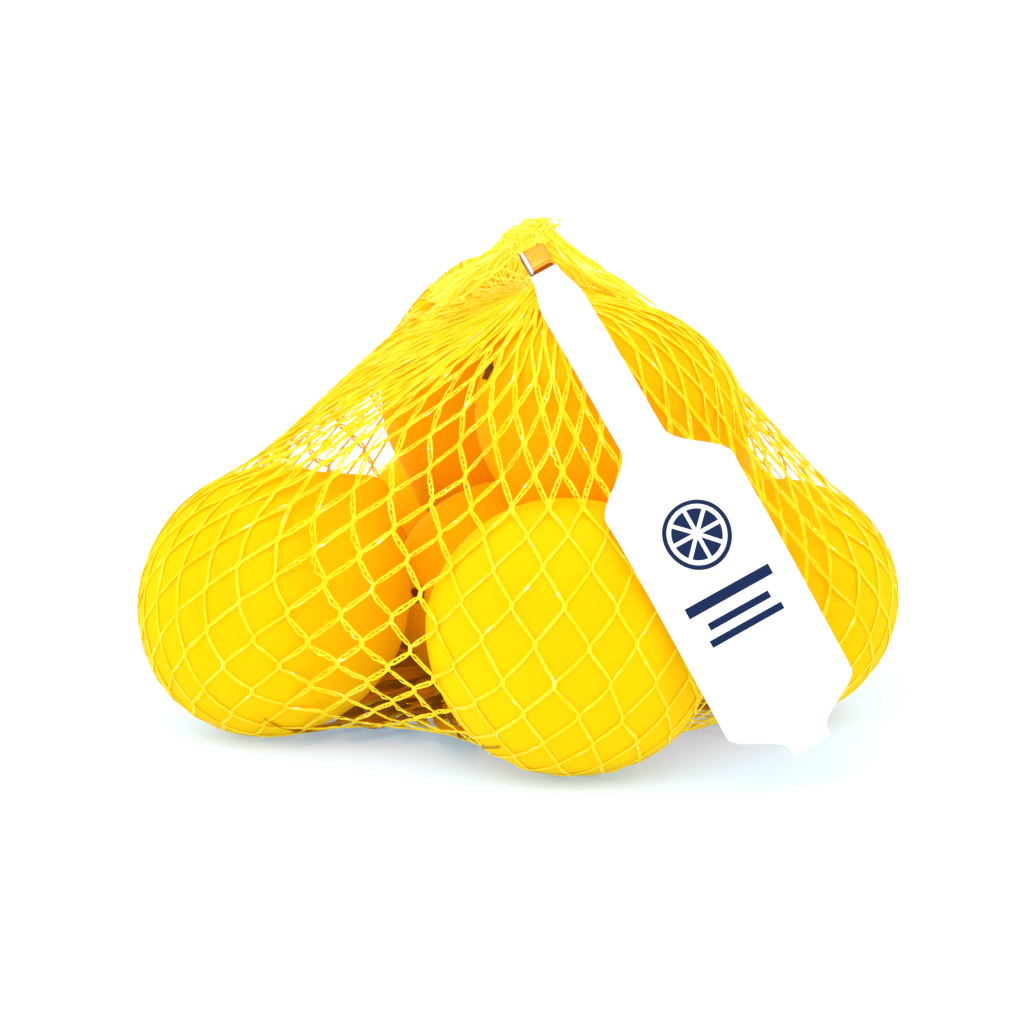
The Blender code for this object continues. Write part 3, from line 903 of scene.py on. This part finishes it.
# ---- tuft ---------------------------------------------------------------------------------------------
class LEMONNET_OT_tuft(bpy.types.Operator):
    """Splay the gathered end of the net above the clip"""

    bl_idname = "lemon_net.tuft"
    bl_label = "Splay tuft"

    TAPES = 300
    DRAPED = 110                # on each side
    STEPS = 14
    DRIFT = (0.9, 0.8, 0.4)     # the whole end leans this way
    TOP = 111.3                 # and is trimmed level here
    WIDTHS = (0.9, 2.0)         # of a tape, as a share of the net's own
    CRINKLE = np.array((9.0, 8.0, 7.0))
    # the net that the draped tapes run down onto, from the clip's top: its height there, how steeply it falls
    # outwards and backwards, and how far below it they may end
    RIGHT = (-0.76, 0.41, 0.0, 3.2)
    LEFT = (6.0, 0.58, 0.21, 6.5)
    BACK = (5.0, 0.58, 0.21, 2.4)
    BACK_SHARE = 0.2            # of the left-hand ones that run to the back
    # painted light: the net's colours made paler here, to offset the shade between the bunched tapes of the
    # splayed end
    TUFT_LIT_COLOUR = (0.92, 0.71, 0.01)
    TUFT_LIT_PALE = (0.96, 0.86, 0.25)

    def execute(self, context):
        net = context.scene.lemon_net.net
        rng = np.random.default_rng(11)
        turn = clip_turn()
        base = np.array(CLIP_CENTRE) + turn[:, 2] * (CLIP_HEIGHT / 2 - 0.8)
        mesh, tone_and_glint_layer = tape_mesh()
        share = np.linspace(0.0, 1.0, self.STEPS)[:, None]
        for tape in range(self.TAPES + 2 * self.DRAPED):
            wave = rng.uniform(0.0, 6.0, 3)
            if tape < self.TAPES:
                path = self.splayed(base, turn, share, wave, rng)
            else:
                path = self.draped(base, 1.0 if tape % 2 else -1.0, share, wave, rng)
            path[:, 2] = np.minimum(path[:, 2], self.TOP)
            down = unit(np.gradient(path, axis=0))
            side = unit(np.cross(down, unit(path - base + turn[:, 2])))
            roll = rng.uniform(0.0, math.pi) + 1.2 * np.sin(np.linspace(0.0, 4.0, self.STEPS) + wave[1])
            flat = side * np.cos(roll)[:, None] + np.cross(side, down) * np.sin(roll)[:, None]
            width = net.tape_width / MM * rng.uniform(*self.WIDTHS)
            add_tape(mesh, tone_and_glint_layer, path, flat * width / 2, rng.uniform(0.2, 1.0))
        material = net_material("tuft", self.TUFT_LIT_COLOUR, self.TUFT_LIT_PALE)
        thicken(finished_piece("net_end", mesh, material, "net_tuft"), net.tape_thickness)
        return {'FINISHED'}

    def splayed(self, base, turn, share, wave, rng):
        """A tape that rises out of the clip and splays."""
        angle = rng.uniform(0.0, 2 * math.pi)
        ring = math.sqrt(rng.uniform(0.02, 1.0))
        lobe = 1.0 + 0.20 * math.cos(5 * angle + 0.7)
        height = rng.uniform(3.4, 7.2) * (1.0 - 0.25 * ring)
        swing = angle + 0.6 * np.sin(3.0 * share + wave[0])
        flare = np.sin(share * math.pi / 2) ** 0.8
        wide = (2.4 + 5.0 * lobe * flare) * ring
        deep = (1.2 + 3.2 * lobe * flare) * ring
        rise = height * np.sin(share * (1.5 + 1.1 * rng.uniform(0.0, 1.0))) / math.sin(1.5)
        path = base + turn[:, 2] * rise + turn[:, 0] * wide * np.cos(swing)
        path = path + turn[:, 1] * deep * np.sin(swing) + np.array(self.DRIFT) * share ** 1.5
        return path + 0.35 * np.sin(self.CRINKLE * share * 1.6 + wave) * np.minimum(share * 3, 1.0)

    def draped(self, base, hand, share, wave, rng):
        """A tape that folds over to one side, behind the clip, and runs down into the net."""
        start = base + np.array((hand * rng.uniform(0.5, 5.0), rng.uniform(0.6, 5.0), rng.uniform(0.6, 4.8)))
        if hand > 0.0:
            out, deep, slope = rng.uniform(5.0, 27.0), rng.uniform(3.0, 13.0), self.RIGHT
        elif rng.uniform(0.0, 1.0) < self.BACK_SHARE:
            out, deep, slope = rng.uniform(7.0, 20.0), rng.uniform(14.0, 34.0), self.BACK
        else:
            out = rng.uniform(9.0, 23.0)
            deep, slope = out * rng.uniform(0.0, 0.8), self.LEFT
        height, outwards, backwards, uneven = slope
        fall = height - outwards * out - backwards * deep - rng.uniform(0.0, uneven)
        end = base + np.array((hand * out, deep, fall))
        path = start + (end - start) * share
        path[:, 2:] += 0.9 * np.sin(math.pi * share) * rng.uniform(-1.0, 0.6)
        path[:, 1:2] += 1.8 * np.sin(math.pi * share) * rng.uniform(-1.0, 1.0)
        return path + 0.3 * np.sin(self.CRINKLE * share * 1.1 + wave)


# ---- clip ---------------------------------------------------------------------------------------------
def clip_outline(angle, out):
    """Across and back places on the band's flattened ring, moved outwards by a distance."""
    half, end = (CLIP_WIDTH - CLIP_DEPTH) / 2, CLIP_DEPTH / 2 + out
    across, back = end * math.cos(angle), end * math.sin(angle)
    return across + math.copysign(half, across) * min(abs(math.cos(angle)) * 3.0, 1.0), back


class LEMONNET_OT_clip(bpy.types.Operator):
    """Crimp the metal band round the neck"""

    bl_idname = "lemon_net.clip"
    bl_label = "Crimp clip"

    RINGS = 14
    SEGMENTS = 64
    WALL = 0.3
    EDGE = 0.07
    ENDS = (-math.pi + 0.35, math.pi + 0.2)     # the band runs between these turns,
    LAP = (-2.25, -0.95)        # and its upper end lies over it between these, at the front,
    LAP_OUT = 0.34              # this far out
    LAP_SHORTER = 0.35          # and this much lower at both rims
    RIM = 0.22                  # how far its rims are rolled in and swing up and down
    DENT = 0.07

    def execute(self, context):
        turn = clip_turn()
        mesh = bmesh.new()
        self.band(mesh, turn, *self.ENDS, 0.0, CLIP_HEIGHT / 2)
        self.band(mesh, turn, *self.LAP, self.LAP_OUT, CLIP_HEIGHT / 2 - self.LAP_SHORTER)
        self.fold(mesh, turn)
        bmesh.ops.recalc_face_normals(mesh, faces=mesh.faces)
        material = clip_material(context.scene.lemon_net.label)
        piece = finished_piece("clip_band", mesh, material, "clip")
        thicken(piece, self.WALL * MM, -1.0)
        round_off = piece.modifiers.new("edges", 'BEVEL')
        round_off.width = self.EDGE * MM
        round_off.segments = 2
        round_off.limit_method = 'ANGLE'
        return {'FINISHED'}

    def band(self, mesh, turn, start, end, out, half_height):
        """A strip round the ring from one angle to another, with hammered sides and rolled rims."""
        layer = mesh.verts.layers.float.get("across") or mesh.verts.layers.float.new("across")
        grid = bmesh.ops.create_grid(mesh, x_segments=self.SEGMENTS, y_segments=self.RINGS, size=1.0)
        for vertex in grid["verts"]:
            angle = start + (end - start) * (vertex.co.x + 1.0) / 2
            rise = vertex.co.y * half_height
            rim = self.RIM * abs(vertex.co.y) ** 6
            dent = self.DENT * noise.noise(Vector((angle * 1.6, rise * 0.55, out * 9.0)))
            across, back = clip_outline(angle, out + dent - rim)
            rise += self.RIM * math.sin(angle * 1.7 + 0.6) * vertex.co.y
            # where across the band a vertex lies, which places the painted highlight and dark reflection
            vertex[layer] = across / CLIP_WIDTH + 0.5
            place = np.array(CLIP_CENTRE) + turn @ np.array((across, back, rise))
            vertex.co = place * MM

    def fold(self, mesh, turn):
        """The crumpled ear that the crimping tool pushes up at the rim."""
        grid = bmesh.ops.create_grid(mesh, x_segments=10, y_segments=6, size=1.0)
        for vertex in grid["verts"]:
            across = 0.6 + 1.15 * vertex.co.x
            rise = CLIP_HEIGHT / 2 - 0.2 + 0.55 * (vertex.co.y + 1.0) * (1.0 - 0.5 * vertex.co.x ** 2)
            back = -CLIP_DEPTH / 2 + 0.18 + 0.45 * (vertex.co.y + 1.0) ** 2 * 0.5
            back += 0.15 * math.sin(5 * vertex.co.x)
            place = np.array(CLIP_CENTRE) + turn @ np.array((across, back, rise))
            vertex.co = place * MM


# ---- label --------------------------------------------------------------------------------------------
LABEL_LENGTH = 129.0
LABEL_TOP_HALF = 3.1
LABEL_NECK_HALF = 5.0
LABEL_BODY_HALF = 15.8
LABEL_STUB_HALF = 4.8
LABEL_TAPER = (0.0, 12.0)
LABEL_SHOULDER = (51.0, 66.0)
LABEL_FOOT = (118.5, 127.0)
LABEL_TWIST = math.radians(20.0)
LABEL_TWIST_RUN = (44.0, 72.0)
LABEL_FALL = (
    (0.0, 2.15),
    (8.0, 8.6),
    (16.0, 14.6),
    (30.0, 24.0),
    (46.0, 32.4),
    (58.0, 41.4),
    (66.0, 44.6),
    (76.0, 44.9),
    (92.0, 41.8),
    (116.0, 35.0),
)
LABEL_COLUMNS = 16
LABEL_ROW = 0.75


def fall_curve():
    """The label's middle line as (fallen, forward) places a short step apart, with the distance along it."""
    fallen = np.array([point[0] for point in LABEL_FALL])
    forward = np.array([point[1] for point in LABEL_FALL])
    slope = np.gradient(forward, fallen)
    line = []
    for k in range(len(fallen) - 1):
        span = fallen[k + 1] - fallen[k]
        for share in np.linspace(0.0, 1.0, 40, endpoint=False):
            h00 = 2 * share ** 3 - 3 * share ** 2 + 1
            h10 = share ** 3 - 2 * share ** 2 + share
            h11 = share ** 3 - share ** 2
            height = h00 * forward[k] + (1 - h00) * forward[k + 1]
            height += span * (h10 * slope[k] + h11 * slope[k + 1])
            line.append((fallen[k] + span * share, height))
    line.append((fallen[-1], forward[-1]))
    line = np.array(line)
    along = np.concatenate(([0.0], np.cumsum(np.linalg.norm(np.diff(line, axis=0), axis=1))))
    return line, along


def label_half_width(distance):
    """Half the label's width at a distance down it from the clip: neck, shoulders, body, foot and stub."""
    half = LABEL_TOP_HALF + (LABEL_NECK_HALF - LABEL_TOP_HALF) * ease(distance, LABEL_TAPER)
    half += (LABEL_BODY_HALF - LABEL_NECK_HALF) * ease(distance, LABEL_SHOULDER)
    half -= (LABEL_BODY_HALF - LABEL_STUB_HALF) * ease(distance, LABEL_FOOT)
    return half


PRINT_SLICE = (0.0, 78.0, 7.6)      # across and down to the middle of the printed fruit slice, and its radius
PRINT_WEDGES = 8
PRINT_BARS = ((0.0, 91.5, 10.5, 1.15), (0.0, 96.0, 7.6, 0.8), (0.0, 99.4, 9.0, 0.8))


def math_node(tree, operation, *values):
    """A math node fed with sockets or numbers."""
    node = tree.nodes.new("ShaderNodeMath")
    node.operation = operation
    for index, value in enumerate(values):
        if isinstance(value, (int, float)):
            node.inputs[index].default_value = value
        else:
            tree.links.new(value, node.inputs[index])
    return node.outputs[0]


def print_mask(tree):
    """1 where the label is printed: a round fruit slice over three plain bars, in millimetres on its map."""
    place = add_node(tree, "ShaderNodeUVMap", uv_map="label")
    split = add_node(tree, "ShaderNodeSeparateXYZ")
    tree.links.new(place.outputs["UV"], split.inputs["Vector"])
    across = math_node(tree, 'MULTIPLY', split.outputs["X"], 100.0)
    along = math_node(tree, 'MULTIPLY', split.outputs["Y"], 100.0)
    x = math_node(tree, 'SUBTRACT', across, PRINT_SLICE[0])
    y = math_node(tree, 'SUBTRACT', along, PRINT_SLICE[1])
    square = math_node(tree, 'ADD', math_node(tree, 'MULTIPLY', x, x), math_node(tree, 'MULTIPLY', y, y))
    radius = math_node(tree, 'SQRT', square)
    rind = math_node(tree, 'COMPARE', radius, PRINT_SLICE[2] - 0.5, 0.5)
    turn = math_node(tree, 'MULTIPLY', math_node(tree, 'ARCTAN2', y, x), PRINT_WEDGES / (2 * math.pi))
    off_middle = math_node(tree, 'ABSOLUTE', math_node(tree, 'SUBTRACT', math_node(tree, 'FRACT', turn), 0.5))
    edge = math_node(tree, 'MULTIPLY', math_node(tree, 'SUBTRACT', 0.5, off_middle), radius)
    flesh = math_node(tree, 'MULTIPLY', math_node(tree, 'GREATER_THAN', edge, 0.55),
                      math_node(tree, 'LESS_THAN', radius, PRINT_SLICE[2] - 2.0))
    mask = math_node(tree, 'MAXIMUM', rind, flesh)
    for bar_across, bar_along, half_width, half_height in PRINT_BARS:
        bar = math_node(tree, 'MULTIPLY', math_node(tree, 'COMPARE', across, bar_across, half_width),
                        math_node(tree, 'COMPARE', along, bar_along, half_height))
        mask = math_node(tree, 'MAXIMUM', mask, bar)
    return mask


def label_material(settings):
    """White film with a plain printed motif."""
    made, tree, shader = new_material("label", Roughness=0.35, Specular_IOR_Level=0.1)
    mix = add_node(tree, "ShaderNodeMix", data_type='RGBA')
    tree.links.new(print_mask(tree), mix.inputs["Factor"])
    mix.inputs[6].default_value = settings.paper_colour[:] + (1.0,)
    mix.inputs[7].default_value = settings.print_colour[:] + (1.0,)
    tree.links.new(mix.outputs[2], shader.inputs["Base Color"])
    link_bump(tree, shader, object_noise(tree, Scale=60.0, Detail=1.0), 0.15, 0.001)
    return made


class LEMONNET_OT_label(bpy.types.Operator):
    """Hang the white label from the clip"""

    bl_idname = "lemon_net.label"
    bl_label = "Hang label"

    def execute(self, context):
        settings = context.scene.lemon_net.label
        turn = np.array(hang_turn())
        across, back, upward = turn[:, 0], turn[:, 1], turn[:, 2]
        top = np.array(CLIP_CENTRE) - clip_turn()[:, 2] * (CLIP_HEIGHT / 2 + GAP)
        line, along = fall_curve()
        mesh = bmesh.new()
        rows = int(LABEL_LENGTH / LABEL_ROW)
        grid = bmesh.ops.create_grid(mesh, x_segments=LABEL_COLUMNS, y_segments=rows, size=1.0)
        layout = mesh.loops.layers.uv.new("label")
        for vertex in grid["verts"]:
            distance = (1.0 - vertex.co.y) / 2 * LABEL_LENGTH
            side = vertex.co.x * label_half_width(distance)
            for loop in vertex.link_loops:
                loop[layout].uv = (side / 100.0, distance / 100.0)
            fallen = np.interp(distance, along, line[:, 0])
            forward = np.interp(distance, along, line[:, 1])
            lean = LABEL_TWIST * ease(distance, LABEL_TWIST_RUN)
            sideways = across * math.cos(lean) + back * math.sin(lean)
            place = top - upward * fallen - back * forward + sideways * side
            vertex.co = place * MM
        piece = finished_piece("hang_label", mesh, label_material(settings), "label")
        thicken(piece, settings.thickness)
        return {'FINISHED'}


# ---- stage --------------------------------------------------------------------------------------------
class LEMONNET_OT_stage(bpy.types.Operator):
    """Set up the floor, the camera and the light"""

    bl_idname = "lemon_net.stage"
    bl_label = "Set stage"

    AIM = (10.9, -69.4, 30.8)       # on the front lemon
    LOOK_LEFT = 0.0125              # the camera looks this much to the left of it and above it
    LOOK_UP = 0.02458
    FLOOR_HALF = 4.0
    FLOOR_COLOUR = (0.755, 0.875, 1.0, 1.0)     # with its glow it keeps the yellow bounce out of the shadows
    FLOOR_GLOW = (0.19, 0.485, 0.97, 1.0)
    KEY_PLACE = (-0.35, -1.1, 0.95)
    KEY_SIZE = 0.9

    def execute(self, context):
        stage = context.scene.lemon_net.stage
        scene = context.scene
        scene.view_settings.view_transform = 'Standard'
        mesh = bmesh.new()
        bmesh.ops.create_grid(mesh, x_segments=1, y_segments=1, size=self.FLOOR_HALF)
        data = bpy.data.meshes.new("floor")
        mesh.to_mesh(data)
        mesh.free()
        floor = bpy.data.objects.new("floor", data)
        scene.collection.objects.link(floor)
        data.materials.append(new_material(
            "floor", Base_Color=self.FLOOR_COLOUR, Emission_Color=self.FLOOR_GLOW, Emission_Strength=0.46,
            Roughness=0.9)[0])

        world = bpy.data.worlds.new("surroundings")
        scene.world = world
        world.use_nodes = True
        sky = world.node_tree.nodes["Background"]
        sky.inputs["Color"].default_value = (1.0, 1.0, 1.0, 1.0)
        sky.inputs["Strength"].default_value = stage.sky

        light = bpy.data.lights.new("key", 'AREA')
        light.shape = 'DISK'
        light.size = self.KEY_SIZE
        light.energy = stage.key
        lamp = bpy.data.objects.new("key", light)
        self.put(scene, lamp, Vector(self.KEY_PLACE), Vector((0.0, 0.0, 0.04)) - Vector(self.KEY_PLACE))

        forward = Vector((0.0, math.cos(stage.elevation), -math.sin(stage.elevation)))
        upward = Vector((0.0, math.sin(stage.elevation), math.cos(stage.elevation)))
        right = Vector((1.0, 0.0, 0.0))
        camera = bpy.data.objects.new("camera", bpy.data.cameras.new("camera"))
        camera.data.lens = stage.lens
        camera.data.sensor_width = 36.0
        look = forward - right * self.LOOK_LEFT + upward * self.LOOK_UP
        self.put(scene, camera, Vector(self.AIM) * MM - forward * stage.distance, look)
        scene.camera = camera
        return {'FINISHED'}

    def put(self, scene, thing, place, look):
        """Put a lamp or a camera in its place, looking along a direction."""
        thing.location = place
        thing.rotation_mode = 'QUATERNION'
        thing.rotation_quaternion = look.to_track_quat('-Z', 'Y')
        scene.collection.objects.link(thing)


class LEMONNET_PT_panel(bpy.types.Panel):
    """Buttons for the pieces of the pack"""

    bl_idname = "LEMONNET_PT_panel"
    bl_label = "Lemon net"
    bl_space_type = 'VIEW_3D'
    bl_region_type = 'UI'
    bl_category = "Lemon net"

    def draw(self, context):
        for operator in OPERATORS:
            self.layout.operator(operator.bl_idname)
        settings = context.scene.lemon_net
        for group in (settings.lemons, settings.net, settings.label, settings.stage):
            box = self.layout.box()
            for key in group.__annotations__:
                box.prop(group, key)


OPERATORS = (
    LEMONNET_OT_lemons,
    LEMONNET_OT_net,
    LEMONNET_OT_gathers,
    LEMONNET_OT_tuft,
    LEMONNET_OT_clip,
    LEMONNET_OT_label,
    LEMONNET_OT_stage,
)
CLASSES = (LemonSettings, NetSettings, LabelSettings, StageSettings, LemonNetSettings, LEMONNET_PT_panel)


def register():
    for cls in CLASSES + OPERATORS:
        bpy.utils.register_class(cls)
    bpy.types.Scene.lemon_net = bpy.props.PointerProperty(type=LemonNetSettings)


def unregister():
    del bpy.types.Scene.lemon_net
    for cls in reversed(CLASSES + OPERATORS):
        bpy.utils.unregister_class(cls)


def main():
    """Register the add-on and make every piece."""
    register()
    bpy.ops.lemon_net.lemons()
    bpy.ops.lemon_net.net()
    bpy.ops.lemon_net.gathers()
    bpy.ops.lemon_net.tuft()
    bpy.ops.lemon_net.clip()
    bpy.ops.lemon_net.label()
    bpy.ops.lemon_net.stage()


if __name__ == "__main__":
    main()
